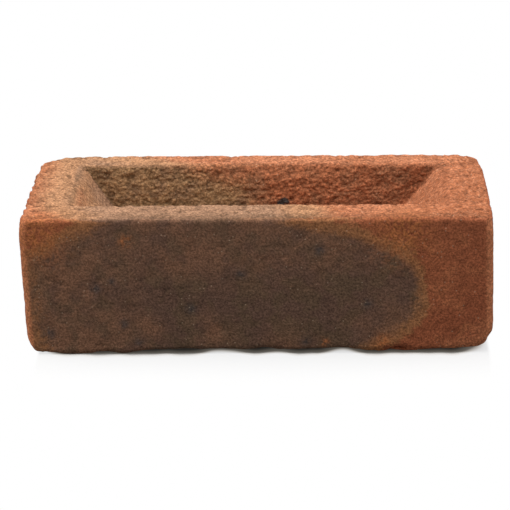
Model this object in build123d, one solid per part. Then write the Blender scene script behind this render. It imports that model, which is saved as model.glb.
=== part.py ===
from build123d import *
import os

# A frogged clay facing brick, moulded and fired as one piece.
# Millimetres, +Z up. The origin is the centre of the lower bed, X runs along the
# stretcher faces, and the front stretcher face looks towards -Y.

# Moulded block
brick_length = 215.0  # header face to header face
brick_width = 102.5  # front stretcher face to back stretcher face
brick_height = 65.0  # lower bed to upper bed
back_corner_radius = 11.0  # the upright corners at the back
lower_arris_radius = 9.0  # under the header faces and the back, where the soft clay slumped
front_edge_radius = 4.5  # at the sides and the foot of the front stretcher face
upper_arris_radius = 2.2  # round the outside of the upper bed, as the mould leaves it

# Frog, the hollow that a stamp leaves in the upper bed
frog_depth = 20.0
frog_end_rim = 21.5  # bed left between the frog and each header face
frog_front_rim = 21.0  # bed left between the frog and the front stretcher face
frog_back_rim = 17.5  # bed left between the frog and the back stretcher face
frog_end_slope = 14.5  # how far each end wall comes in from the rim to the floor
frog_side_slope = 4.5  # how far each long wall comes in from the rim to the floor
frog_corner_radius = 2.0  # between an end wall and a long wall
frog_floor_radius = 1.5  # between the walls and the floor
frog_rim_radius = 1.5  # between the walls and the upper bed

# How far the stamp stands above the bed that it cuts
stamp_overrun = 5.0

brick_node = "brick"


def moulded_block():
    # The block is rounded from its largest radius to its smallest, so that each rounding
    # runs on into the next: the back corners, then the lower arris, then the front, then
    # the upper arris.
    block = Box(brick_length, brick_width, brick_height)
    block = Pos(Z=brick_height / 2) * block
    back = block.faces().sort_by(Axis.Y)[-1]
    block = fillet(back.edges().filter_by(Axis.Z), back_corner_radius)

    lower_bed = block.faces().sort_by(Axis.Z)[0]
    behind_front = lower_bed.edges().sort_by(Axis.Y)[1:]
    block = fillet(behind_front, lower_arris_radius)

    front = block.faces().sort_by(Axis.Y)[0]
    below_upper_bed = front.edges().sort_by(Axis.Z)[:-1]
    block = fillet(below_upper_bed, front_edge_radius)

    upper_bed = block.faces().sort_by(Axis.Z)[-1]
    return fillet(upper_bed.edges(), upper_arris_radius)


def stamp_section(rim_start, rim_end, wall_slope):
    # A section through the stamp: the floor, two sloping walls and the overrun above
    # the bed, where the walls keep their slope.
    floor_level = brick_height - frog_depth
    stamp_top = brick_height + stamp_overrun
    overrun_slope = wall_slope * stamp_overrun / frog_depth
    outline = Polyline(
        (rim_start + wall_slope, floor_level),
        (rim_end - wall_slope, floor_level),
        (rim_end + overrun_slope, stamp_top),
        (rim_start - overrun_slope, stamp_top),
        close=True,
    )
    return make_face(outline)


def frog_stamp():
    # The stamp is what its long section and its cross section have in common.
    rim_reach = brick_length / 2 - frog_end_rim
    front_rim = frog_front_rim - brick_width / 2
    back_rim = brick_width / 2 - frog_back_rim
    long_section = Plane.XZ * stamp_section(-rim_reach, rim_reach, frog_end_slope)
    cross_section = Plane.YZ * stamp_section(front_rim, back_rim, frog_side_slope)
    stamp = extrude(long_section, amount=brick_width, both=True)
    stamp &= extrude(cross_section, amount=brick_length, both=True)

    level_edges = stamp.edges().filter_by(Axis.X) + stamp.edges().filter_by(Axis.Y)
    wall_corners = stamp.edges() - level_edges
    stamp = fillet(wall_corners, frog_corner_radius)
    floor = stamp.faces().sort_by(Axis.Z)[0]
    return fillet(floor.edges(), frog_floor_radius)


def frogged_brick():
    brick = moulded_block() - frog_stamp()
    upper_bed = brick.faces().sort_by(Axis.Z)[-1]
    frog_mouth = upper_bed.inner_wires()[0]
    return fillet(frog_mouth.edges(), frog_rim_radius)


os.makedirs("parts", exist_ok=True)
export_step(frogged_brick(), f"parts/{brick_node}.step")
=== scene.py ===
# A fired clay brick with a frog, dressed over its solid and set on a plain white floor.
import math

import bpy
import numpy as np
from mathutils import Matrix, Vector


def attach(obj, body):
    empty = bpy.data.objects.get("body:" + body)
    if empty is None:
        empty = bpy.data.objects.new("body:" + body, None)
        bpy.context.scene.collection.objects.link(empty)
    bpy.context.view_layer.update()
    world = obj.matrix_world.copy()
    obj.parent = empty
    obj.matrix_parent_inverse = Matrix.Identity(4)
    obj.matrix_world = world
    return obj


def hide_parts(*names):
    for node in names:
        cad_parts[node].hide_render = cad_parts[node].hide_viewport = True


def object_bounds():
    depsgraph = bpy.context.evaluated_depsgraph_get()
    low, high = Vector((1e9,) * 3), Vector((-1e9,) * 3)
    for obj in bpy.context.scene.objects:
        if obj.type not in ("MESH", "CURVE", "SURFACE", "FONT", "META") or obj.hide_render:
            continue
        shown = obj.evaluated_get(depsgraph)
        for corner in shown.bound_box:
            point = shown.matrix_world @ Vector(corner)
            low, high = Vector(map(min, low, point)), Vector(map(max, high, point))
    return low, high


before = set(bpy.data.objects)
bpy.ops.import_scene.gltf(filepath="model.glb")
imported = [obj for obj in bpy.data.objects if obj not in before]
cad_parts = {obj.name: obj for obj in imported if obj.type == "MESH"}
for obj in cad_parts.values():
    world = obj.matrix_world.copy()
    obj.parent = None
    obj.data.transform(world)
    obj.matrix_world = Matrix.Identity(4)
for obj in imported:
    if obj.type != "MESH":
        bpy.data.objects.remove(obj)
cadLow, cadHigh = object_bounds()
mm = 0.001  # the dictionaries below are in millimetres, the scene is in metres
print("frame loaded, nodes", sorted(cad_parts))


# Curves and noise

def easeBetween(value, start, end):
    # 0 before start, 1 after end, and 3t^2 - 2t^3 between them.
    t = np.clip((value - start) / (end - start), 0.0, 1.0)
    return t * t * (3.0 - 2.0 * t)


def bell(distance, reach):
    # exp(-(distance / reach)^2): 1 in the middle, and about a third of that at its reach.
    return np.exp(-(distance / reach) ** 2)


def splitAxes(points):
    # The x, the y and the z of every point.
    return points[..., 0], points[..., 1], points[..., 2]


def latticeHeight(i, j, k, seed):
    # Scrambles three lattice counts and a seed into one height from -1 to 1. The large factors and the
    # shifts have no meaning of their own: they spread each count over all the bits.
    h = i.astype(np.uint32) * np.uint32(374761393)
    h = h + j.astype(np.uint32) * np.uint32(668265263)
    h = h + k.astype(np.uint32) * np.uint32(1274126177)
    h = h + np.uint32(seed * 40503)
    h = (h ^ (h >> np.uint32(15))) * np.uint32(2246822519)
    h = (h ^ (h >> np.uint32(13))) * np.uint32(3266489917)
    h = h ^ (h >> np.uint32(16))
    return h / (np.iinfo(np.uint32).max / 2) - 1.0


def valueNoise(points, cell, seed):
    # A cubic lattice of hashed heights. Each point takes the blend of its eight corners, eased by
    # 6t^5 - 15t^4 + 10t^3.
    place = points / cell
    corner = np.floor(place).astype(np.int64)
    t = place - corner
    t = t * t * t * (t * (t * 6.0 - 15.0) + 10.0)
    x, y, z = splitAxes(corner)
    total = np.zeros(points.shape[:-1])
    for stepX in (0, 1):
        for stepY in (0, 1):
            for stepZ in (0, 1):
                weight = np.abs(1 - stepX - t[..., 0]) * np.abs(1 - stepY - t[..., 1])
                weight = weight * np.abs(1 - stepZ - t[..., 2])
                total += weight * latticeHeight(x + stepX, y + stepY, z + stepZ, seed)
    return total


# Octaves are turned against each other, so that their lattices don't line up
octaveTurn = np.array(Matrix.Rotation(0.7, 3, "X") @ Matrix.Rotation(1.1, 3, "Z"))


def roughNoise(points, cell, octaves, seed):
    # Value noise added to itself, each time turned, at half the cell and half the height.
    total = np.zeros(points.shape[:-1])
    height = 1.0
    for octave in range(octaves):
        points = points @ octaveTurn
        total += height * valueNoise(points, cell, seed + octave)
        cell = cell / 2
        height = height / 2
    return total


# The block and its frog, as rings carried along one profile

brickShape = {
    "frontCorner": 4.5,             # radius of the upright corners at the front
    "backCorners": (12.5, 8.0),     # and at the back, left and right
    "upperArris": 2.2,              # where the faces meet the upper bed
    "lipHeight": 2.8,               # where the long faces start to turn under
    "lipFoot": 0.5,                 # the gap that is left under the lip
    "lipReach": 1.8,                # how far the lip's rounding comes in
    "lowerEnds": (7.0, 9.5),        # radius of the lower arris at the headers and back, left and right
    "bedFoot": 13.0,                # where the lower bed comes down to the floor
    "bedLiftShare": 0.65,           # how much of that the bed takes to lift off it
    "frogDepth": 20.0,
    "frogEndRims": (22.2, 20.6),    # bed between the frog and each header face, left and right
    "frogFrontRim": 21.6,           # bed between the frog and the front face
    "frogBackRim": 17.5,            # bed between the frog and the back face
    "frogEndSlopes": (14.5, 18.0),  # how far each end wall comes in on its way down
    "frogSideSlope": 4.5,           # how far a long wall comes in on its way down
    "frogCorner": 1.6,
    "frogRimBend": 1.8,             # how far the rim's rounding reaches at the long walls
    "frogEndBend": 3.5,             # and at the end walls
    "frogFloorBend": 1.4,
    "endWallTurn": (0.35, 0.7),     # how much an end wall faces along the brick: at first, and in full
    "longCells": 186,               # grid cells along the front and back
    "shortCells": 82,               # grid cells along each header face
    "cornerCells": 9,               # grid cells round each upright corner
}


def planPath(shape):
    # A rounded rectangle as four straight runs and four quarter turns. A point has its place on the
    # straight runs, from -1 to 1 each way, and the direction that it faces. Places along the brick are
    # rounded, so that those at the front and at the back compare equal.
    longRun = np.linspace(-1.0, 1.0, shape["longCells"] + 1)[1:-1]
    shortRun = np.linspace(-1.0, 1.0, shape["shortCells"] + 1)[1:-1]
    turn = np.linspace(0.0, np.pi / 2, shape["cornerCells"] + 1)
    legs = [
        (longRun, -1.0, -np.pi / 2),
        (1.0, -1.0, turn - np.pi / 2),
        (1.0, shortRun, 0.0),
        (1.0, 1.0, turn),
        (-longRun, 1.0, np.pi / 2),
        (-1.0, 1.0, turn + np.pi / 2),
        (-1.0, -shortRun, np.pi),
        (-1.0, -1.0, turn + np.pi),
    ]
    parts = [np.broadcast_arrays(*leg) for leg in legs]
    alongX, alongY, facing = (np.concatenate(column) for column in zip(*parts))
    return np.round(alongX, decimals=9), alongY, np.cos(facing), np.sin(facing)


def brickProfile(shape, length, width, height):
    # Each span runs from one ring to the next, straight or bent towards a third ring. A ring is its left
    # and right ends, its front and back, its corner radius at the front, the back left and the back
    # right, and its level at the long faces and at the headers. A span also says how much it belongs to
    # each zone of the brick, at its start and at its end.
    halfLength = length / 2
    halfWidth = width / 2

    # A ring of the block, inset from its faces
    def outerRing(inset, level):
        ends = (inset - halfLength, halfLength - inset)
        sides = (inset - halfWidth, halfWidth - inset)
        corners = (shape["frontCorner"], *shape["backCorners"])
        return np.array([*ends, *sides, *corners, level, level])

    # A ring of the frog, whose walls come in by slope * depth / full depth, and go out again by a reach
    def frogRing(depth, reach, endDepth, endReach):
        endInsets = np.array(shape["frogEndSlopes"]) * endDepth / shape["frogDepth"] - endReach
        leftInset, rightInset = endInsets + np.array(shape["frogEndRims"])
        sideInset = shape["frogSideSlope"] * depth / shape["frogDepth"] - reach
        ends = (leftInset - halfLength, halfLength - rightInset)
        front = shape["frogFrontRim"] + sideInset - halfWidth
        back = halfWidth - shape["frogBackRim"] - sideInset
        corners = [shape["frogCorner"]] * 3
        return np.array([*ends, front, back, *corners, height - depth, height - endDepth])

    # The seam in the middle of a ring: half its width in from each end
    def closed(ring):
        left, right, front, back = ring[:4]
        middle = (front + back) / 2
        half = (back - front) / 2
        levels = ring[-2:]
        return np.array([left + half, right - half, middle, middle, 0.0, 0.0, 0.0, *levels])

    depth = shape["frogDepth"]
    floorBend = shape["frogFloorBend"]
    rimBend = shape["frogRimBend"]
    endBend = shape["frogEndBend"]
    bedEdge = outerRing(shape["bedFoot"], 0.0)
    bedLift = outerRing(shape["bedFoot"] * shape["bedLiftShare"], 0.0)
    lipUnder = outerRing(shape["lipReach"], shape["lipFoot"])
    lipBend = outerRing(0.0, shape["lipFoot"])
    faceFoot = outerRing(0.0, shape["lipHeight"])
    faceTop = outerRing(0.0, height - shape["upperArris"])
    faceBend = outerRing(0.0, height)
    rimOuter = outerRing(shape["upperArris"], height)
    rimInner = frogRing(0.0, rimBend, 0.0, endBend)
    rimEdge = frogRing(0.0, 0.0, 0.0, 0.0)
    wallTop = frogRing(rimBend, 0.0, endBend, 0.0)
    wallFoot = frogRing(depth - floorBend, 0.0, depth - floorBend, 0.0)
    wallEnd = frogRing(depth, 0.0, depth, 0.0)
    floorEdge = frogRing(depth, -floorBend, depth, -floorBend)
    return [
        {"rings": 13, "path": [closed(bedEdge), bedEdge], "under": (1, 1)},
        {"rings": 9, "path": [bedEdge, bedLift, lipUnder], "under": (1, 0.6), "lip": (0, 1)},
        {"rings": 7, "path": [lipUnder, lipBend, faceFoot],
         "under": (0.6, 0), "lip": (1, 0.2), "side": (0, 1)},
        {"rings": 58, "path": [faceFoot, faceTop], "side": (1, 1)},
        {"rings": 6, "path": [faceTop, faceBend, rimOuter], "side": (1, 0), "bed": (0, 1)},
        {"rings": 22, "path": [rimOuter, rimInner], "bed": (1, 1)},
        {"rings": 5, "path": [rimInner, rimEdge, wallTop], "bed": (1, 0), "frog": (0, 1)},
        {"rings": 36, "path": [wallTop, wallFoot], "frog": (1, 1)},
        {"rings": 4, "path": [wallFoot, wallEnd, floorEdge], "frog": (1, 1), "floor": (0, 1)},
        {"rings": 12, "path": [floorEdge, closed(floorEdge)], "frog": (1, 1), "floor": (1, 1)},
    ]


def profileRings(spans):
    # A span's rings are P0(1-t) + P1 t, or P0(1-t)^2 + 2 P1 t(1-t) + P2 t^2 where it bends. Its last
    # ring is the next span's first. Each zone goes evenly from its start to its end along the span.
    zones = {name: [] for name in ("under", "lip", "side", "bed", "frog", "floor")}
    rings = []
    for span in spans:
        t = np.linspace(0.0, 1.0, span["rings"] + 1)
        t = t if span is spans[-1] else t[:-1]
        s = t[:, None]
        start, *bend, end = span["path"]
        if bend:
            rings.append(start * (1 - s) ** 2 + 2 * bend[0] * s * (1 - s) + end * s ** 2)
        else:
            rings.append(start * (1 - s) + end * s)
        for name, weights in zones.items():
            first, last = span.get(name, (0, 0))
            weights.append(first + (last - first) * t)
    return np.concatenate(rings), {name: np.concatenate(weights) for name, weights in zones.items()}


def carryRings(rings, path):
    # Each ring is stretched over the plan: centre + place times straight half + direction times radius.
    # Its radius goes from the front's to the back's along the headers, and its level from that of the
    # long faces to that of the headers as the direction turns.
    alongX, alongY, faceX, faceY = path
    columns = (column[:, None] for column in rings.T)
    left, right, front, back, frontRadius, leftRadius, rightRadius, level, endLevel = columns
    halfLength = (right - left) / 2
    halfWidth = (back - front) / 2
    backRadius = leftRadius + (rightRadius - leftRadius) * (alongX + 1.0) / 2
    radius = frontRadius + (backRadius - frontRadius) * (alongY + 1.0) / 2
    x = (left + right) / 2 + alongX * (halfLength - radius) + faceX * radius
    y = (front + back) / 2 + alongY * (halfWidth - radius) + faceY * radius
    z = level + (endLevel - level) * faceX ** 2
    return np.stack([x, y, z], axis=-1)


def liftFoot(grid, shape, length, width, height):
    # Near the headers and the back the foot of the brick rises along an arc, h = R - sqrt(R^2 - u^2),
    # where u is how far a point lies into the arc, and R goes from the left end's to the right's. What
    # stands above the arc is shortened alike: z goes to h + z (H - h) / H.
    x, y, z = splitAxes(grid)
    leftArc, rightArc = shape["lowerEnds"]
    leftCorner, rightCorner = shape["backCorners"]
    share = x / length + 0.5
    arc = leftArc + (rightArc - leftArc) * share
    corner = leftCorner + (rightCorner - leftCorner) * share
    pastEnd = np.abs(x) - length / 2 + corner
    pastBack = y - width / 2 + corner
    outward = np.hypot(np.maximum(pastEnd, 0.0), np.maximum(pastBack, 0.0))
    outward = outward + np.minimum(np.maximum(pastEnd, pastBack), 0.0)
    into = np.clip(outward - corner + arc, 0.0, arc)
    rise = arc - np.sqrt(arc ** 2 - into ** 2)
    return np.stack([x, y, rise + z * (height - rise) / height], axis=-1)


def gridNormals(grid, floorZone):
    # The cross product of the steps round and along the grid, over its length, which is nothing at a
    # seam. The lower bed's seam faces straight down, and the frog's floor straight up.
    stepRound = np.roll(grid, -1, axis=1) - np.roll(grid, 1, axis=1)
    stepAlong = np.gradient(grid, axis=0)
    normals = np.cross(stepRound, stepAlong)
    leastLength = 1e-9
    normals = normals / np.maximum(np.linalg.norm(normals, axis=-1, keepdims=True), leastLength)
    normals[0] = (0.0, 0.0, -1.0)
    return np.where(floorZone[..., None] >= 1.0, np.array([0.0, 0.0, 1.0]), normals)


def brickGrid(size):
    # The block before wear: rings carried round the plan, and the foot lifted everywhere but in the frog.
    # The frog's walls count as end walls by how much they face along the brick.
    path = planPath(brickShape)
    alongX = path[0]
    rings, zoneRows = profileRings(brickProfile(brickShape, *size))
    grid = carryRings(rings, path)
    outside = zoneRows["frog"] == 0
    grid[outside] = liftFoot(grid[outside], brickShape, *size)
    zones = {name: np.broadcast_to(row[:, None], grid.shape[:2]) for name, row in zoneRows.items()}
    normals = gridNormals(grid, zones["floor"])
    facingAlong = np.abs(normals[..., 0])
    zones["endWall"] = zones["frog"] * easeBetween(facingAlong, *brickShape["endWallTurn"])
    zones["wall"] = zones["frog"] - zones["endWall"]
    return grid, normals, zones, alongX


# Relief of the clay

clayRelief = {
    "seed": 41,                 # each kind of unevenness adds a step of its own
    "skin": 0.12,               # how far the mean face lies inside the solid's
    "skinSoft": 0.12,           # how softly crests stop short of it

    # A squeeze below 1 draws the shapes out along that axis
    "sway": {"cell": 70.0, "height": 0.25, "octaves": 1, "step": 0},
    "lumps": {"cell": 13.0, "height": 0.20, "octaves": 2, "step": 10},
    "sideGrain": {"cell": 1.9, "height": 0.17, "octaves": 2, "step": 20},
    "bedCrumble": {"cell": 2.6, "height": 0.30, "octaves": 2, "step": 30},
    "bedGrain": {"cell": 1.6, "height": 0.20, "octaves": 1, "step": 40},
    "endCrumble": {"cell": 3.4, "height": 0.22, "octaves": 1, "step": 45},
    "underDrag": {"cell": 5.0, "height": 0.35, "octaves": 2, "step": 50, "squeeze": (0.25, 1.0, 1.0)},
    "bedCrease": {"cell": 3.0, "height": 0.45, "octaves": 2, "step": 60, "squeeze": (0.7, 0.7, 1.0)},
    "wallCrumble": {"cell": 2.2, "height": 0.20, "octaves": 1, "step": 70, "squeeze": (0.7, 1.0, 1.0)},
    "wallGrain": {"cell": 1.2, "height": 0.26, "octaves": 1, "step": 72, "squeeze": (0.7, 1.0, 1.0)},
    "wallCrease": {"cell": 1.9, "height": 0.30, "octaves": 2, "step": 75, "squeeze": (0.6, 1.0, 1.0)},
    "pits": {"cell": 4.0, "height": 0.60, "octaves": 2, "step": 80},
    "edgeWear": {"cell": 8.0, "height": 0.45, "octaves": 3, "step": 90},
    "rimWear": {"cell": 6.0, "height": 0.25, "octaves": 2, "step": 95},
    "lipWave": {"cell": 15.0, "height": 1.2, "octaves": 2, "step": 100},
    "lipCrumble": {"cell": 3.2, "height": 0.6, "octaves": 2, "step": 108},

    "creaseEdge": 0.22,         # a crease lies where its noise is nearer to zero than this
    "creaseBend": (9.0, 0.9),   # how creases bend: cell and reach
    "pitStart": (0.45, 0.85),   # a pit starts, and is deepest, where its noise is this high
    "pitShares": {"side": 0.3, "bed": 1.0, "endWall": 0.4, "wall": 0.6, "under": 1.0},
    "crackHalf": 0.75,          # half the width of a crack
    "crackBend": {"cell": 4.8, "reach": 1.6, "step": 65},
    "crackCloses": 0.6,         # where a crack starts to close, as a share of its half length
    "nibbleDepths": (0.9, 0.2),  # the headers' top goes back between crumbs, left and right
    "nibbleFall": (6.0, 1.5),   # how far below the top that sets in, and is full
    "nibbles": {"cell": 2.0, "step": 97, "squeeze": (1.0, 1.0, 0.5)},
    "nibbleGaps": (0.5, 0.2),   # gaps between the crumbs start, and are full, where their noise is this low
    "lipSway": {"cell": 34.0, "height": 2.0, "step": 105, "range": 0.45},
    "breakRise": (1.8, 4.2),    # how far up the face the lip's breaks reach: in full, and where they end
    "breakTurn": 0.6,           # how much a place faces the front to break in full
    "leftCrown": 54.0,          # where the left header face stands out furthest
    "leftFoot": 2.1,            # how far it comes in below
    "leftTop": 0.9,             # and above
    "rightTop": 0.9,            # how far the right header face comes in towards its top
    "leanStart": 0.55,          # where that lean sets in, as a share of the half length
    "scoopFoot": 0.6,           # where the rim's scoops set in, as a share of the wall's height
    "scoopBack": (10.0, 25.0),  # how far back they set in, and are full
    "endsMiddle": 30.0,         # how far from the middle a place is wholly at the front or the back
}

# Corners worn off: centre, radius and depth
wornCorners = [
    (-107.5, 51.0, 65.0, 12.0, 1.3), (110.0, 42.0, 66.0, 9.0, 1.7), (107.5, -51.0, 65.0, 6.0, 1.4),
    (107.5, -51.0, 4.0, 7.0, 1.2), (105.0, -51.0, 2.5, 2.8, 1.3), (107.0, -50.5, 7.0, 2.0, 1.0),
    (103.0, -51.0, 1.5, 2.6, 1.4), (98.0, -51.0, 0.5, 3.0, 1.2),
]

# Cracks in the upper bed, from the frog's corner to the header face: centre, half length and depth
bedCracks = [(-96.5, -31.5, 7.5, 1.8), (-102.0, -29.5, 3.0, 1.5), (-100.0, -37.5, 4.0, 1.5)]

# Where the lower front lip has broken back, or is whole: place along the brick, half width and depth
lipBreaks = [
    (-86.0, 10.0, -2.0), (-60.0, 6.0, -1.0), (-30.0, 6.0, 0.5), (4.0, 5.0, 2.3), (38.0, 5.0, 1.2),
    (64.0, 4.5, 2.8), (84.0, 9.0, 0.5), (99.0, 8.0, 0.4),
]

# Where the lip has sagged onto the floor: place along the brick, half width and drop
lipSags = [(-86.0, 10.0, 0.9), (-62.0, 8.0, 0.5), (52.0, 7.0, 0.8)]

# Where the frog's back rim has crumbled away: place along the brick, half width and reach
rimScoops = [(14.0, 28.0, 2.3)]


def kindNoise(points, name):
    # Rough noise of one kind of unevenness, over points squeezed along the axes.
    kind = clayRelief[name]
    squeezed = points * np.array(kind.get("squeeze", (1.0, 1.0, 1.0)))
    return roughNoise(squeezed, kind["cell"], kind["octaves"], clayRelief["seed"] + kind["step"])


def kindRelief(points, name):
    # The kind's height times its noise.
    return clayRelief[name]["height"] * kindNoise(points, name)


def kindCreases(points, name):
    # The kind's height in creases, where its noise crosses zero. A smoother noise bends them.
    kind = clayRelief[name]
    seed = clayRelief["seed"] + kind["step"]
    bendCell, bend = clayRelief["creaseBend"]
    flow = points * np.array(kind["squeeze"]) + bend * valueNoise(points, bendCell, seed)[..., None]
    noise = roughNoise(flow, kind["cell"], kind["octaves"], seed + 1)
    return kind["height"] * easeBetween(np.abs(noise), clayRelief["creaseEdge"], 0.0)


def towardsBack(y):
    # 0 in the front half of the brick, and eased to 1 towards the back.
    return easeBetween(y, 0.0, clayRelief["endsMiddle"])


def headerNibbles(points, facingAlong, zones):
    # The top of the headers goes back by depth * gaps, where gaps is 1 between the crumbs and 0 on them.
    x = points[..., 0]
    z = points[..., 2]
    kind = clayRelief["nibbles"]
    leftDepth, rightDepth = clayRelief["nibbleDepths"]
    depth = np.where(x < 0.0, leftDepth, rightDepth)
    fallStart, fallEnd = clayRelief["nibbleFall"]
    headerTop = (1.0 - zones["frog"]) * facingAlong
    headerTop = headerTop * easeBetween(z, z.max() - fallStart, z.max() - fallEnd)
    crumbs = valueNoise(points * np.array(kind["squeeze"]), kind["cell"], clayRelief["seed"] + kind["step"])
    return headerTop * depth * easeBetween(crumbs, *clayRelief["nibbleGaps"])


def lipWear(points, normals, zones):
    # The lip goes back by waves, crumbs and a slow sway, and its front breaks by depth * bell(x).
    x = points[..., 0]
    z = points[..., 2]
    lip = zones["lip"]
    sway = clayRelief["lipSway"]
    swayNoise = valueNoise(points, sway["cell"], clayRelief["seed"] + sway["step"])
    swayDepth = sway["height"] * easeBetween(swayNoise, -sway["range"], sway["range"])
    waves = np.abs(kindRelief(points, "lipWave")) + np.abs(kindRelief(points, "lipCrumble"))
    wear = lip * (waves + swayDepth)
    towardsFront = easeBetween(-normals[..., 1], 0.0, clayRelief["breakTurn"])
    breakFull, breakEnd = clayRelief["breakRise"]
    broken = np.maximum(lip, zones["side"] * (1.0 - zones["bed"]) * easeBetween(z, breakEnd, breakFull))
    for place, halfWidth, depth in lipBreaks:
        wear = wear + broken * towardsFront * bell(x - place, halfWidth) * depth
    return wear


def broadRelief(points, normals, zones):
    # Wavy faces, less the wear of the edges, the headers' top, the lip and the corners. Half way round
    # an edge its two faces count a half each, so 4 times their product is 1 there.
    side, bed, frog = zones["side"], zones["bed"], zones["frog"]
    facingAlong = np.abs(normals[..., 0])
    height = kindRelief(points, "sway") + kindRelief(points, "lumps") - clayRelief["skin"]
    arris = 4.0 * side * bed * (1.0 + facingAlong)
    rim = 4.0 * bed * frog
    height = height - arris * np.abs(kindRelief(points, "edgeWear"))
    height = height - rim * np.abs(kindRelief(points, "rimWear"))
    height = height - headerNibbles(points, facingAlong, zones)
    height = height - lipWear(points, normals, zones)
    for x, y, z, radius, depth in wornCorners:
        away = np.linalg.norm(points - np.array([x, y, z]), axis=-1)
        height = height - depth * bell(away, radius)
    return height


def crackDepth(points):
    # Each crack is depth * bell over the gap to its wandering line, eased to nothing at its ends.
    x = points[..., 0]
    y = points[..., 1]
    bend = clayRelief["crackBend"]
    wander = bend["reach"] * valueNoise(points, bend["cell"], clayRelief["seed"] + bend["step"])
    total = np.zeros(points.shape[:-1])
    for placeX, placeY, halfLength, depth in bedCracks:
        closes = clayRelief["crackCloses"] * halfLength
        ended = easeBetween(np.abs(x - placeX), halfLength, closes)
        total += depth * ended * bell(y - placeY + wander, clayRelief["crackHalf"])
    return total


def fineRelief(points, zones):
    # Crumbs and grain, less creases, cracks and pits. Each is weighed by the zone that it belongs to.
    side, bed, under = zones["side"], zones["bed"], zones["under"]
    wall, endWall = zones["wall"], zones["endWall"]
    height = side * kindRelief(points, "sideGrain") + under * kindRelief(points, "underDrag")
    height = height + bed * (kindRelief(points, "bedCrumble") + kindRelief(points, "bedGrain"))
    height = height + endWall * kindRelief(points, "endCrumble")
    height = height - bed * (kindCreases(points, "bedCrease") + crackDepth(points))
    height = height + wall * (kindRelief(points, "wallCrumble") + kindRelief(points, "wallGrain"))
    height = height - wall * kindCreases(points, "wallCrease")
    pit = easeBetween(kindNoise(points, "pits"), *clayRelief["pitStart"])
    pitted = sum(share * zones[name] for name, share in clayRelief["pitShares"].items())
    return height - pit * clayRelief["pits"]["height"] * pitted


def keepInside(height):
    # Crests level off short of the solid's face: -k log(1 + exp(-height / k)).
    soft = clayRelief["skinSoft"]
    return -soft * np.logaddexp(0.0, -height / soft)


def leanHeaders(points, grid, size):
    # The left header face comes in below and above its crown, and the right one towards its top. The
    # shift fades out towards the middle of the brick.
    x = grid[..., 0]
    z = grid[..., 2]
    crown = clayRelief["leftCrown"]
    footward = np.clip(1.0 - z / crown, 0.0, 1.0)
    topward = np.clip((z - crown) / (size[2] - crown), 0.0, 1.0)
    left = clayRelief["leftFoot"] * footward + clayRelief["leftTop"] * topward ** 2
    right = clayRelief["rightTop"] * z / size[2]
    outward = x / (size[0] / 2)
    start = clayRelief["leanStart"]
    points[..., 0] += left * easeBetween(-outward, start, 1.0) - right * easeBetween(outward, start, 1.0)


def scoopRim(points, grid, size):
    # The top of the frog's back wall goes back by reach * bell(x) * up * over. Here up is eased from 0
    # at the scoops' foot to 1 at the wall's top, and over goes from 1 at the frog to 0 at the back face.
    x, y, z = splitAxes(grid)
    up = easeBetween(1.0 - (size[2] - z) / brickShape["frogDepth"], clayRelief["scoopFoot"], 1.0)
    over = np.clip((size[1] / 2 - y) / brickShape["frogBackRim"], 0.0, 1.0)
    over = over * easeBetween(y, *clayRelief["scoopBack"])
    for place, halfWidth, reach in rimScoops:
        points[..., 1] += reach * bell(x - place, halfWidth) * up * over


def sagLip(points, grid, zones):
    # The front lip's underside comes down by drop * bell(x) * lip, as far as the floor.
    frontLip = zones["lip"] * towardsBack(-grid[..., 1])
    for place, halfWidth, drop in lipSags:
        points[..., 2] -= drop * bell(grid[..., 0] - place, halfWidth) * frontLip


def wearGrid(grid, normals, zones, fine, size):
    # Points go along their normals by their relief. All relief but the frog's is kept inside the solid.
    height = broadRelief(grid, normals, zones) + fine
    kept = keepInside(height)
    height = kept + zones["frog"] * (height - kept)
    points = grid + normals * height[..., None]
    leanHeaders(points, grid, size)
    scoopRim(points, grid, size)
    sagLip(points, grid, zones)
    return np.clip(points, np.array(cadLow) / mm, np.array(cadHigh) / mm)


# Where the kiln flashed the clay: one region that crosses the front face, the beds and the frog

flashRegion = {
    "tip": (73.5, 25.5),          # its right end on the front face, along and up
    "upperFall": (0.00118, 3.0),  # how its edge draws back above the tip: factor and power
    "lowerFall": (0.031, 2.2),    # and below it
    "backDraw": (0.0092, -48.0),  # how its edge draws back towards the back face: factor and start
    "bedAhead": 31.0,             # how much further right it goes on the bed
    "frogAhead": (15.0, -9.0),    # and in the frog, at its rim and at its floor
    "leftEdge": -103.0,
    "leftRise": (1.90, 45.5),     # how the left edge comes in above a level: slope and level
    "leftBed": 27.0,              # how far it goes out again on the bed
    "leftReturn": (16.0, -50.0, -20.0),  # and towards the back: distance, from and to
    "leftStrips": (2.0, 2.0),     # how much of the bed's left and of the left end wall it leaves bare
    "leftSoft": 0.6,              # how much slower the left edge fades on the faces
    "headerTurn": (0.5, 0.9),     # how much a place faces left to be on the header: at first, in full
    "headerStart": 14.0,          # how far short of the left header face it stops
    "leftWrap": (42.0, 0.9),      # how far it goes round the back left corner, and how fast it ends
    "wrapHeight": (28.0, 0.012),  # the level where it goes furthest, and how fast it draws back
    "hiddenBack": (20.0, 45.0),   # where the back starts to count as hidden, and is so in full
    "hiddenWander": (24.0, 14.0, 120),  # how its edge wanders on hidden faces: cell, reach, seed's step
}


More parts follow.
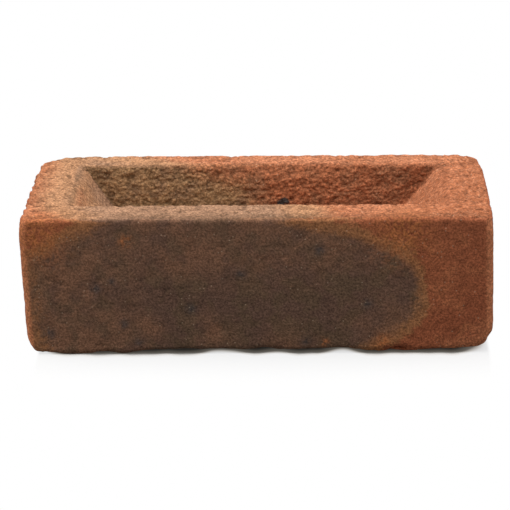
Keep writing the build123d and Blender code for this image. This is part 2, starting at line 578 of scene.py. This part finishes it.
def rightFlash(points, zones):
    # Distance along the brick to the right edge, over sqrt(1 + slope^2) of that edge. The edge draws
    # back from its tip by factor * gap^power, upwards, downwards and towards the back.
    x, y, z = splitAxes(points)
    bed = zones["bed"]
    tipX, tipZ = flashRegion["tip"]
    upFactor, upPower = flashRegion["upperFall"]
    downFactor, downPower = flashRegion["lowerFall"]
    backFactor, backStart = flashRegion["backDraw"]
    overTip = np.maximum(z - tipZ, 0.0)
    underTip = np.maximum(tipZ - z, 0.0)
    behind = np.maximum(y - backStart, 0.0)
    rimAhead, floorAhead = flashRegion["frogAhead"]
    inFrog = (z.max() - z) / brickShape["frogDepth"]
    frogAhead = rimAhead + (floorAhead - rimAhead) * inFrog
    edge = tipX + (flashRegion["bedAhead"] * bed + frogAhead * zones["frog"])
    edge = edge - upFactor * overTip ** upPower - downFactor * underTip ** downPower
    edge = edge - backFactor * behind ** 2
    upSlope = upFactor * upPower * overTip ** (upPower - 1)
    downSlope = downFactor * downPower * underTip ** (downPower - 1)
    backSlope = 2.0 * backFactor * behind
    steepness = 1.0 + (upSlope + downSlope) ** 2 * (1.0 - bed) + backSlope ** 2 * bed
    wanderCell, wander, step = flashRegion["hiddenWander"]
    hidden = zones["floor"] + zones["side"] * easeBetween(y, *flashRegion["hiddenBack"])
    wandering = hidden * wander * valueNoise(points, wanderCell, clayRelief["seed"] + step)
    return (edge - x) / np.sqrt(steepness) + wandering


def leftFlash(points, normals, zones):
    # Distance along the brick to the left edge, which comes in with height on the front face. At the back
    # the flash goes on round the corner, and ends with the distance from the back and from one level.
    x, y, z = splitAxes(points)
    bed = zones["bed"]
    leftEdge = flashRegion["leftEdge"]
    slope, riseLevel = flashRegion["leftRise"]
    back, backFrom, backTo = flashRegion["leftReturn"]
    edge = leftEdge + slope * np.maximum(z - riseLevel, 0.0) - flashRegion["leftBed"] * bed
    edge = np.maximum(edge - back * easeBetween(y, backFrom, backTo), leftEdge)
    bedStrip, endStrip = flashRegion["leftStrips"]
    edge = edge + bedStrip * bed + endStrip * zones["endWall"]
    onHeader = easeBetween(-normals[..., 0], *flashRegion["headerTurn"])
    wrap, wrapFall = flashRegion["leftWrap"]
    wrapLevel, levelFall = flashRegion["wrapHeight"]
    ended = onHeader * (wrapFall * (y.max() - y) + levelFall * (z - wrapLevel) ** 2)
    reach = x - edge - flashRegion["headerStart"] * onHeader
    reach = reach + towardsBack(y) * (1.0 - bed) * (wrap - ended)
    return (1.0 - flashRegion["leftSoft"] * (1.0 - bed)) * reach


def flashReach(points, normals, zones):
    # How far inside the flashed region a point lies, less than zero outside it.
    return np.minimum(rightFlash(points, zones), leftFlash(points, normals, zones))


# Spots of colour: centre and radius, less the coordinate that all the spots on a face share

frontFace = -51.0
frogBack = 31.0
bedTop = 65.0


def onFront(spots):
    # Each spot gets the front face's y between its place along the brick and its level.
    return [(x, frontFace, z, radius) for x, z, radius in spots]


def onBed(spots):
    # Each spot gets the bed's level before its radius.
    return [(x, y, bedTop, radius) for x, y, radius in spots]


inkSpots = onFront([
    (-96.0, 10.2, 2.6), (-60.5, 14.6, 2.4), (-73.0, 31.5, 2.8), (-66.0, 35.0, 2.0), (-7.0, 38.5, 2.2),
    (28.5, 49.5, 2.4), (-54.0, 6.0, 2.0), (22.0, 6.0, 2.4), (-30.0, 22.0, 2.6), (50.0, 24.0, 2.4),
])
# Rust spots; the broad one at the top left, at -99 along, is painted light on that part of the face
rustAndPaintedLightSpots = onFront([
    (-59.0, 54.5, 2.6), (30.5, 5.5, 1.8), (57.0, 5.5, 3.6), (-99.0, 57.0, 12.0), (66.0, 57.0, 12.0),
])
warmPatches = onFront([
    (-75.0, 48.0, 26.0), (-90.0, 25.0, 12.0), (-62.0, 5.0, 15.0), (15.0, 50.0, 15.0),
    (-35.0, 48.0, 13.0), (60.0, 8.0, 19.0), (-10.0, 53.0, 18.0), (-85.0, 5.0, 16.0),
    (-48.0, 14.0, 5.0), (-20.0, 11.0, 9.0), (34.0, 56.0, 15.0), (51.0, 53.0, 9.0),
    (12.0, -4.0, 15.0), (-50.0, 62.5, 5.0), (-40.0, 62.5, 5.0), (-14.0, 62.0, 6.0), (-4.0, 62.0, 5.0),
])
palePatches = onBed([
    (22.0, 43.0, 26.0), (4.0, 43.0, 20.0), (75.0, 44.0, 18.0), (-107.0, -36.0, 11.0),
    (-45.0, 43.0, 17.0), (54.0, -34.0, 13.0),
])
stones = [(12.0, frogBack, 47.2, 2.3), (9.3, frogBack, 46.6, 1.7)]
# Painted highlights at the lower right corner and along the lower edge next to it
paintedHighlightSpots = [
    (105.5, -50.0, 9.5, 6.0), (101.0, -50.5, 4.0, 4.0),
    (94.0, frontFace, 2.0, 4.0), (87.0, frontFace, 1.5, 4.0),
]

# Edges and corners whose colour differs: worn corners with a painted highlight, painted shade in the frog,
# and a darker bed along the front
edgeColour = {
    "rubbedHighlightTurn": (0.08, 0.4),    # |nx ny| where an upright corner starts to be worn and to take a painted highlight, and does so in full
    "rubbedHighlightBack": 0.2,            # share of that at the blunt corners of the back
    "creviceEnd": 10.0,           # how far painted shade reaches in from the ends of the frog's back and front walls
    "creviceFloor": 3.6,          # and from the floor
    "endWallShade": 0.33,          # how much painted shade its end walls take
    "dullFront": 0.85,            # how dull the bed is along the front
    "dullFrontReach": 9.0,
    "dullFrontFrom": (-75.0, -45.0),  # where that sets in along the brick, and is full
}


def spotBells(points, spots):
    # The sum of round bells, one for each spot, up to 1.
    total = np.zeros(points.shape[:-1])
    for x, y, z, radius in spots:
        total += bell(np.linalg.norm(points - np.array([x, y, z]), axis=-1), radius)
    return np.minimum(total, 1.0)


def rubbedAndHighlitCorners(grid, normals, zones):
    # Upright corners face both ways, so |nx ny| is high there: they are worn paler and take a painted
    # highlight. The blunt ones at the back get less of both.
    corner = easeBetween(np.abs(normals[..., 0] * normals[..., 1]), *edgeColour["rubbedHighlightTurn"])
    less = 1.0 - edgeColour["rubbedHighlightBack"]
    return zones["side"] * corner * (1.0 - less * towardsBack(grid[..., 1]))


def frogCreviceShade(grid, zones):
    # Painted shade by how deep in the frog's corners a point lies: exp(-gap / reach), with its gap to the
    # ends of its ring or to the floor. The end walls take painted shade all over.
    x = grid[..., 0]
    z = grid[..., 2]
    endGap = np.minimum(x - x.min(axis=1, keepdims=True), x.max(axis=1, keepdims=True) - x)
    floorGap = z - z[-1, 0]
    corner = np.exp(-endGap / edgeColour["creviceEnd"])
    corner = np.maximum(corner, np.exp(-floorGap / edgeColour["creviceFloor"]))
    return zones["wall"] * corner + edgeColour["endWallShade"] * zones["endWall"]


def dullEdge(grid, zones):
    # A bell over the gap to the front face, on the bed.
    frontGap = grid[..., 1] - grid[..., 1].min()
    dull = edgeColour["dullFront"] * bell(frontGap, edgeColour["dullFrontReach"])
    return zones["bed"] * dull * easeBetween(grid[..., 0], *edgeColour["dullFrontFrom"])


def brickMarks(grid, normals, zones, fine):
    # What the clay's material reads at each point, by the name of the attribute.
    return {
        "flashReach": flashReach(grid, normals, zones),
        "hollow": -fine,
        "rubbedAndHighlight": np.maximum(rubbedAndHighlitCorners(grid, normals, zones), spotBells(grid, paintedHighlightSpots)),
        "bed": zones["bed"] * (1.0 - zones["side"]) + zones["endWall"],
        "wall": zones["wall"],
        "ink": spotBells(grid, inkSpots),
        "rustAndPaintedLight": spotBells(grid, rustAndPaintedLightSpots),
        "warm": spotBells(grid, warmPatches),
        "pale": spotBells(grid, palePatches),
        "stone": spotBells(grid, stones),
        # painted shade in the frog's corners and on its end walls, and a darker bed along the front
        "dull": frogCreviceShade(grid, zones) + dullEdge(grid, zones),
    }


# The mesh

def sealSeams(shape, alongX):
    # The first and last rings are closed to seams, where points with the same place along the brick are
    # one point. Gives the points that stay, and each grid point's number among them.
    index = np.arange(shape[0] * shape[1]).reshape(shape)
    firstUse, seam = np.unique(alongX, return_index=True, return_inverse=True)[1:]
    for ring in (0, -1):
        index[ring] = index[ring][firstUse[seam]]
    used, packed = np.unique(index, return_inverse=True)
    return used, packed.reshape(shape)


def gridFaces(index):
    # Quads between neighbouring rings. Where a ring has closed to a seam a quad loses a side and is a
    # triangle.
    ahead = np.roll(index, -1, axis=1)
    quads = np.stack([index[:-1], ahead[:-1], ahead[1:], index[1:]], axis=-1).reshape(-1, 4)
    lowGone = quads[:, 0] == quads[:, 1]
    highGone = quads[:, 2] == quads[:, 3]
    whole = quads[~lowGone & ~highGone]
    return whole.tolist() + quads[lowGone][:, 1:].tolist() + quads[highGone][:, :3].tolist()


def makeBrick():
    # The worn grid as one closed mesh, with its marks as attributes of its points.
    size = np.array(cadHigh - cadLow) / mm
    grid, normals, zones, alongX = brickGrid(size)
    fine = fineRelief(grid, zones)
    points = wearGrid(grid, normals, zones, fine, size)
    used, index = sealSeams(grid.shape[:2], alongX)
    mesh = bpy.data.meshes.new("clayBrick")
    mesh.from_pydata((points.reshape(-1, 3)[used] * mm).tolist(), [], gridFaces(index))
    mesh.shade_smooth()
    for name, values in brickMarks(grid, normals, zones, fine).items():
        layer = mesh.attributes.new(name, "FLOAT", "POINT")
        layer.data.foreach_set("value", values.reshape(-1)[used].astype(np.float32))
    brick = bpy.data.objects.new("clay_brick", mesh)
    bpy.context.scene.collection.objects.link(brick)
    return brick


brick = makeBrick()
print("brick mesh", len(brick.data.vertices), "points", len(brick.data.polygons), "faces")


# Calls that add nodes

def shaderTools(tree):
    # add sets a node's properties, and fills or links its inputs. combine does one sum with two values.
    # ease goes smoothly from start to end while its value goes from low to high.
    def add(kind, inputs, **settings):
        node = tree.nodes.new(kind)
        for name, value in settings.items():
            setattr(node, name, value)
        for key, value in inputs.items():
            if isinstance(value, bpy.types.NodeSocket):
                tree.links.new(value, node.inputs[key])
            else:
                node.inputs[key].default_value = value
        return node

    def combine(operation, first, second=0.0):
        return add("ShaderNodeMath", {0: first, 1: second}, operation=operation).outputs[0]

    def ease(value, low, high, start=0.0, end=1.0):
        inputs = {"Value": value, "From Min": low, "From Max": high, "To Min": start, "To Max": end}
        return add("ShaderNodeMapRange", inputs, interpolation_type="SMOOTHSTEP").outputs["Result"]

    return add, combine, ease


# Fired clay

firedClay = {
    # Tones of the clay itself, before light; the worn corners' tone also serves as a painted highlight, and
    # the rust tone as a painted patch of light
    "red": (0.400, 0.125, 0.056),
    "redDeep": (0.345, 0.103, 0.047),
    "orange": (0.480, 0.165, 0.072),
    "halo": (0.388, 0.172, 0.073),
    "ash": (0.150, 0.091, 0.056),
    "ashPlum": (0.153, 0.085, 0.060),
    "ashWarm": (0.258, 0.127, 0.074),
    "rubbedAndHighlight": (0.580, 0.215, 0.100),
    "bedSalmon": (0.405, 0.136, 0.059),
    "bedPale": (0.545, 0.212, 0.106),
    "bedGold": (0.480, 0.243, 0.124),
    "bedTan": (0.376, 0.206, 0.121),
    "wallRed": (0.408, 0.139, 0.062),
    "wallOlive": (0.385, 0.215, 0.104),
    "wallUmber": (0.240, 0.132, 0.072),
    "ink": (0.080, 0.065, 0.061),
    "stone": (0.082, 0.068, 0.062),
    "rustAndPaintedLight": (0.500, 0.170, 0.060),
    "sand": (0.560, 0.400, 0.270),

    # Patterns: size of a patch, detail and roughness
    "patches": (38.0, 2.0, 0.5),
    "wander": (20.0, 3.0, 0.5),
    "stains": (11.0, 2.0, 0.6),
    "blotches": (9.0, 3.0, 0.5),
    "crumbs": (2.2, 3.0, 0.6),
    "grain": (1.0, 2.0, 0.7),
    "specks": 1.7,
    "crust": 1.7,

    # The flash's edge
    "wanderReach": 10.0,
    "frayReach": 7.0,
    "bedSoft": 0.65,              # how much slower the edge fades on the bed
    "wallSoft": 0.5,              # and in the frog

    # How a tone comes in: from and to on its pattern, and its share before and after, else 0 and 1
    "redDeepIn": (0.35, 0.65),
    "orangeIn": (0.5, 0.75, 0.0, 0.7),
    "haloIn": (-6.0, -3.0, 0.0, 0.88),
    "bedPaleIn": (0.42, 0.7),
    "bedPaleMark": 0.7,           # what a pale patch adds to that
    "redUmberIn": (0.45, 0.7, 0.0, 0.4),
    "ashPlumIn": (0.4, 0.6),
    "ashWarmIn": (0.34, 0.62, 0.3, 0.95),
    "bedTanIn": (3.0, 9.0),
    "oliveUmberIn": (0.45, 0.68, 0.0, 0.8),
    "flashIn": (-3.0, 3.0),
    "rubbedAndHighlightIn": (0.3, 0.6, 0.4, 0.9),
    "rustAndPaintedLightIn": (0.35, 0.6),
    "inkIn": (0.3, 0.55, 0.2, 0.85),
    "stoneIn": (0.25, 0.65),
    "speckIn": (0.24, 0.12, 0.0, 0.5),
    "speckChance": (0.86, 0.88),

    # How painted shade goes with hollows, crust gaps and the frog, and tone with the front edge and grain:
    # from and to, and light before and after
    "hollowShade": (-0.6, 0.9, 1.18, 0.58),
    "crustLight": 0.12,           # what the crust's crumbs gain
    "crustGapShade": (0.35, 0.75, 0.0, 0.30),  # and its gaps lose, as painted shade
    "dullShade": (0.1, 1.0, 1.0, 0.66),
    "grainShade": (0.3, 0.7, 0.60, 1.40),

    # Bump and gloss
    "grainHeight": 0.5,
    "crumbHeight": 0.6,
    "crustHeight": 0.7,
    "bumpStrength": 0.85,
    "bumpDistance": 0.7,
    "roughness": (0.2, 0.8, 0.85, 0.98),  # by the grain
    "specular": 0.12,
}


def firedClayMaterial():
    # Colour goes from bare to flashed clay by how far inside the flash a point lies, takes on worn places,
    # spots and painted highlights, and is multiplied by painted shade and grain tone.
    # Grain, crumbs and crust give the bump.
    look = firedClay
    material = bpy.data.materials.new("firedClay")
    material.use_nodes = True
    material.node_tree.nodes.clear()
    add, combine, ease = shaderTools(material.node_tree)
    place = add("ShaderNodeTexCoord", {}).outputs["Object"]

    # Nodes by what they give: a mark on the mesh, a pattern, a tone, or what is made of them
    def mark(name):
        return add("ShaderNodeAttribute", {}, attribute_name=name).outputs["Fac"]

    def noise(name):
        cell, detail, rough = look[name]
        inputs = {"Vector": place, "Scale": 1.0 / (cell * mm), "Detail": detail, "Roughness": rough}
        return add("ShaderNodeTexNoise", inputs).outputs["Fac"]

    def cells(name):
        return add("ShaderNodeTexVoronoi", {"Vector": place, "Scale": 1.0 / (look[name] * mm)}).outputs

    def times(first, second):
        return combine("MULTIPLY", first, second)

    def bothWays(pattern):
        return combine("SUBTRACT", pattern, 0.5)  # a noise lies round a half

    def eased(pattern, name):
        return ease(pattern, *look[name])

    def tone(name):
        return (*look[name], 1.0)

    def blend(share, first, second, mode="MIX"):
        inputs = {0: share, 6: first, 7: second}  # the mix node's colours are inputs 6 and 7, output 2
        return add("ShaderNodeMix", inputs, data_type="RGBA", blend_type=mode).outputs[2]

    def byFace(faceTone, bedTone, wallTone):
        return blend(bed, blend(wall, faceTone, wallTone), bedTone)

    bed = mark("bed")
    wall = mark("wall")
    pale = mark("pale")
    blotches = noise("blotches")
    crumbs = noise("crumbs")
    grain = noise("grain")
    crust = cells("crust")["Distance"]
    crusted = combine("ADD", bed, wall)

    # How far inside the flash: its edge wanders and frays, and is softer on the bed and in the frog
    wander = times(bothWays(noise("wander")), look["wanderReach"])
    fray = times(bothWays(crumbs), look["frayReach"])
    reach = combine("ADD", mark("flashReach"), combine("ADD", wander, fray))
    softness = combine("ADD", times(bed, look["bedSoft"]), times(wall, look["wallSoft"]))
    reach = times(reach, combine("SUBTRACT", 1.0, softness))

    # Clay that the flash didn't reach, with a halo round the flash
    face = blend(eased(noise("patches"), "redDeepIn"), tone("red"), tone("redDeep"))
    face = blend(eased(blotches, "orangeIn"), face, tone("orange"))
    face = blend(eased(reach, "haloIn"), face, tone("halo"))
    paleness = combine("ADD", eased(crumbs, "bedPaleIn"), times(pale, look["bedPaleMark"]))
    bedClay = blend(combine("MINIMUM", paleness, 1.0), tone("bedSalmon"), tone("bedPale"))
    wallClay = blend(eased(blotches, "redUmberIn"), tone("wallRed"), tone("wallUmber"))
    clay = byFace(face, bedClay, wallClay)

    # Flashed clay: ash on the faces, gold to tan on the bed, olive in the frog
    ash = blend(eased(noise("stains"), "ashPlumIn"), tone("ash"), tone("ashPlum"))
    ash = blend(times(mark("warm"), eased(blotches, "ashWarmIn")), ash, tone("ashWarm"))
    tan = blend(eased(reach, "bedTanIn"), tone("bedGold"), tone("bedTan"))
    tan = blend(pale, tan, tone("bedGold"))
    olive = blend(eased(blotches, "oliveUmberIn"), tone("wallOlive"), tone("wallUmber"))
    colour = blend(eased(reach, "flashIn"), clay, byFace(ash, tan, olive))

    # Worn corners with a painted highlight, painted highlight spots, rust spots with a painted patch of
    # light, and ink spots
    for spot in ("rubbedAndHighlight", "rustAndPaintedLight", "ink"):
        colour = blend(times(mark(spot), eased(crumbs, spot + "In")), colour, tone(spot))
    stone = combine("ADD", mark("stone"), bothWays(crumbs))
    colour = blend(eased(stone, "stoneIn"), colour, tone("stone"))

    # Painted shade in hollows, between crumbs, in the frog's corners and on its end walls, a darker bed
    # along the front, and tone from grain to grain
    # The crust's gaps are darker: painted shade between its crumbs
    gaps = times(crusted, eased(crust, "crustGapShade"))
    crustShade = combine("SUBTRACT", combine("ADD", 1.0, times(crusted, look["crustLight"])), gaps)
    shade = times(eased(mark("hollow"), "hollowShade"), crustShade)
    shade = times(shade, eased(mark("dull"), "dullShade"))
    shade = times(shade, eased(grain, "grainShade"))
    shade = add("ShaderNodeCombineColor", {"Red": shade, "Green": shade, "Blue": shade}).outputs["Color"]
    colour = blend(1.0, colour, shade, "MULTIPLY")

    # Loose sand: the middles of a few cells, picked by the cell's own colour
    specks = cells("specks")
    chance = add("ShaderNodeSeparateColor", {"Color": specks["Color"]}).outputs["Red"]
    speck = times(eased(specks["Distance"], "speckIn"), eased(chance, "speckChance"))
    colour = blend(speck, colour, tone("sand"))

    # Sand grain and crumbs too small for the mesh
    height = combine("ADD", times(grain, look["grainHeight"]), times(crumbs, look["crumbHeight"]))
    height = combine("SUBTRACT", height, times(crusted, times(crust, look["crustHeight"])))
    bump = add("ShaderNodeBump", {
        "Height": height, "Strength": look["bumpStrength"], "Distance": look["bumpDistance"] * mm,
    })
    shader = add("ShaderNodeBsdfPrincipled", {
        "Base Color": colour, "Roughness": eased(grain, "roughness"), "Normal": bump.outputs["Normal"],
        "Specular IOR Level": look["specular"],
    })
    add("ShaderNodeOutputMaterial", {"Surface": shader.outputs["BSDF"]})
    return material


brick.data.materials.append(firedClayMaterial())
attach(brick, "root")
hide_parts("brick")
print("fired clay on the brick")


# Floor, light and camera

studio = {
    "floorSide": 8000.0,
    "floorWhite": 0.74,           # what the floor gives back to the camera
    "floorBounce": 0.21,          # and to the brick
    "footInset": 1.5,             # how far inside the solid's long faces the shade at its foot starts
    "shadeEnds": (13.5, 8.5),     # and inside its headers, left and right
    "shadeCorner": 12.0,          # corner radius of that shade
    "shadeWave": (17.0, 1.2),     # how the shade wanders along the brick: the cell and the reach
    "waveRange": (0.3, 0.7),      # heights of the noise between which it does so
    "nearWhite": (-0.4, 5.8, 0.70),  # where white takes over near the brick: from, to and how much
    "underWhite": (-5.0, 1.0, 0.10, 0.018),  # and under it, a painted glow of light in the shade: from, to, how much, and before
    "paintedBounceTint": (0.90, 0.76),    # green and blue of that glow, next to red: a painted warm bounce from the clay
    "paintedContactShadow": (0.0, 3.5, 0.25),  # where the floor at its foot is darker, a painted contact shadow: from, to and how dark
    "farWhite": (18.0, 53.0),     # where white takes over wholly
    "sideWhite": 7.0,             # how much sooner it does so past the ends than past the faces
    "skyLight": 0.165,
    "keyPlace": (-250.0, -200.0, 2150.0),
    "keySide": 2400.0,
    "keyWatts": 73.0,
    "fillPlace": (1300.0, 150.0, 520.0),  # on the right, and mirrored on the left
    "fillSide": 800.0,
    "fillWatts": 4.3,
}

# Where the shade at the brick's foot draws back: place along the brick, half width and reach
shadeDips = [(-16.0, 18.0, 6.0), (8.5, 11.0, 4.0), (38.8, 12.0, 8.0), (75.0, 22.0, 1.2)]


def whiteToCamera(add, combine):
    # 1 for what the camera sees, straight or through gloss or glass, and 0 for light on its way round.
    path = add("ShaderNodeLightPath", {}).outputs
    seen = combine("MAXIMUM", path["Is Camera Ray"], path["Is Glossy Ray"])
    return combine("MAXIMUM", seen, path["Is Transmission Ray"])


def footDistances(add, combine, ease):
    # Distance outside a rectangle under the brick is the length of |place - middle| - half sides, where
    # that is positive. The near distance has round corners, wanders and grows at the dips, and the far
    # one counts more past the ends.
    def vector(operation, first, second=(0.0, 0.0, 0.0)):
        return add("ShaderNodeVectorMath", {0: first, 1: second}, operation=operation).outputs["Vector"]

    def length(first):
        return add("ShaderNodeVectorMath", {0: first}, operation="LENGTH").outputs["Value"]

    place = add("ShaderNodeTexCoord", {}).outputs["Object"]
    leftInset, rightInset = studio["shadeEnds"]
    leftEnd = cadLow[0] + leftInset * mm
    rightEnd = cadHigh[0] - rightInset * mm
    middle = ((leftEnd + rightEnd) / 2, 0.0, 0.0)
    halfSides = ((rightEnd - leftEnd) / 2, cadHigh[1] - studio["footInset"] * mm, 0.0)
    past = vector("SUBTRACT", vector("ABSOLUTE", vector("SUBTRACT", place, middle)), halfSides)
    far = length(vector("MULTIPLY", vector("MAXIMUM", past), (studio["sideWhite"], 1.0, 1.0)))
    corner = studio["shadeCorner"] * mm
    near = length(vector("MAXIMUM", vector("ADD", past, (corner, corner, 0.0))))
    near = combine("SUBTRACT", near, corner)

    waveCell, waveReach = studio["shadeWave"]
    waveLow, waveHigh = studio["waveRange"]
    along = vector("MULTIPLY", place, (1.0 / (waveCell * mm), 0.0, 0.0))
    wave = add("ShaderNodeTexNoise", {"Vector": along, "Scale": 1.0, "Detail": 1.0}).outputs["Fac"]
    wave = add("ShaderNodeMapRange", {
        "Value": wave, "From Min": waveLow, "From Max": waveHigh,
        "To Min": -waveReach * mm, "To Max": waveReach * mm,
    }).outputs["Result"]
    near = combine("ADD", near, wave)
    x = add("ShaderNodeSeparateXYZ", {"Vector": place}).outputs["X"]
    for dipPlace, dipHalf, dipReach in shadeDips:
        gap = combine("ABSOLUTE", combine("SUBTRACT", x, dipPlace * mm))
        near = combine("ADD", near, ease(gap, 0.0, dipHalf * mm, dipReach * mm, 0.0))
    return near, far


def whiteFloorMaterial():
    # What the camera sees goes from lit floor to plain white with the distance from the brick. At its foot
    # it takes a painted contact shadow and a faint painted glow of warm bounce light. The brick gets less
    # light back from it.
    material = bpy.data.materials.new("whiteFloor")
    material.use_nodes = True
    material.node_tree.nodes.clear()
    add, combine, ease = shaderTools(material.node_tree)
    seen = whiteToCamera(add, combine)
    near, far = footDistances(add, combine, ease)

    def outward(distance, start, end, most, least=0.0):
        return ease(distance, start * mm, end * mm, least, most)

    fade = combine("MAXIMUM", outward(near, *studio["nearWhite"]), outward(near, *studio["underWhite"]))
    fade = combine("MAXIMUM", fade, outward(far, *studio["farWhite"], 1.0))
    fade = combine("MULTIPLY", fade, seen)
    # The glow near and under the brick is warm: painted bounce light from the clay
    tintFrom, tintTo = studio["nearWhite"][:2]
    green, blue = (outward(near, tintFrom, tintTo, 1.0, tint) for tint in studio["paintedBounceTint"])
    warm = add("ShaderNodeCombineColor", {"Red": 1.0, "Green": green, "Blue": blue}).outputs["Color"]
    # The floor's own grey darkens at the brick's foot: a painted contact shadow
    contactFrom, contactTo, contactShare = studio["paintedContactShadow"]
    floorWhite = studio["floorWhite"]
    white = outward(near, contactFrom, contactTo, floorWhite, contactShare * floorWhite)
    grey = {"Value": seen, "To Min": studio["floorBounce"], "To Max": white}
    grey = add("ShaderNodeMapRange", grey).outputs["Result"]
    tone = add("ShaderNodeCombineColor", {"Red": grey, "Green": grey, "Blue": grey}).outputs["Color"]
    lit = add("ShaderNodeBsdfDiffuse", {"Color": tone}).outputs["BSDF"]
    beyond = add("ShaderNodeEmission", {"Color": warm, "Strength": 1.0}).outputs["Emission"]
    surface = add("ShaderNodeMixShader", {0: fade, 1: lit, 2: beyond}).outputs["Shader"]
    add("ShaderNodeOutputMaterial", {"Surface": surface})
    return material


def makeFloor():
    # One square, with its middle under the brick.
    half = studio["floorSide"] / 2 * mm
    mesh = bpy.data.meshes.new("floor")
    corners = [(-half, -half, 0.0), (half, -half, 0.0), (half, half, 0.0), (-half, half, 0.0)]
    mesh.from_pydata(corners, [], [(0, 1, 2, 3)])
    mesh.materials.append(whiteFloorMaterial())
    floor = bpy.data.objects.new("floor", mesh)
    bpy.context.scene.collection.objects.link(floor)


def makeLamp(name, place, side, watts):
    # A square of light that looks at the brick's foot.
    data = bpy.data.lights.new(name, "AREA")
    data.shape = "SQUARE"
    data.size = side * mm
    data.energy = watts
    lamp = bpy.data.objects.new(name, data)
    lamp.location = Vector(place) * mm
    lamp.rotation_mode = "QUATERNION"
    lamp.rotation_quaternion = lamp.location.to_track_quat("Z", "Y")
    bpy.context.scene.collection.objects.link(lamp)


def makeLight():
    # A sky that the camera sees as white, a large soft lamp overhead, and a fill at each end.
    world = bpy.data.worlds.new("studioWorld")
    bpy.context.scene.world = world
    world.use_nodes = True
    world.node_tree.nodes.clear()
    add, combine = shaderTools(world.node_tree)[:2]
    strength = {"Value": whiteToCamera(add, combine), "To Min": studio["skyLight"], "To Max": 1.0}
    strength = add("ShaderNodeMapRange", strength).outputs["Result"]
    sky = add("ShaderNodeBackground", {"Color": (1.0, 1.0, 1.0, 1.0), "Strength": strength})
    add("ShaderNodeOutputWorld", {"Surface": sky.outputs["Background"]})
    x, y, z = studio["fillPlace"]
    makeLamp("softbox", studio["keyPlace"], studio["keySide"], studio["keyWatts"])
    makeLamp("fillRight", (x, y, z), studio["fillSide"], studio["fillWatts"])
    makeLamp("fillLeft", (-x, y, z), studio["fillSide"], studio["fillWatts"])


photoCamera = {
    "azimuth": 1.665,             # degrees round from the front
    "elevation": 18.52,
    "roll": -0.80,
    "aim": (-2.05, -0.27, 30.50),
    "distance": 1158.0,
    "lens": 173.32,               # millimetres on the sensor below
    "sensor": 36.0,
}


def makeCamera():
    # The camera stands at its distance from its aim, round by the azimuth and up by the elevation, and
    # is rolled about its own axis.
    turn = math.radians(photoCamera["azimuth"])
    rise = math.radians(photoCamera["elevation"])
    back = Vector((math.sin(turn) * math.cos(rise), -math.cos(turn) * math.cos(rise), math.sin(rise)))
    level = Vector((math.cos(turn), math.sin(turn), 0.0))
    upright = Matrix((level, back.cross(level), back)).transposed()
    roll = Matrix.Rotation(math.radians(photoCamera["roll"]), 3, "Z")
    data = bpy.data.cameras.new("photoCamera")
    data.lens = photoCamera["lens"]
    data.sensor_width = photoCamera["sensor"]
    camera = bpy.data.objects.new("photoCamera", data)
    camera.rotation_mode = "QUATERNION"
    camera.rotation_quaternion = (upright @ roll).to_quaternion()
    camera.location = (Vector(photoCamera["aim"]) + back * photoCamera["distance"]) * mm
    bpy.context.scene.collection.objects.link(camera)
    bpy.context.scene.camera = camera


makeFloor()
makeLight()
makeCamera()
bpy.context.scene.view_settings.view_transform = "Standard"
print("floor, light and camera set")
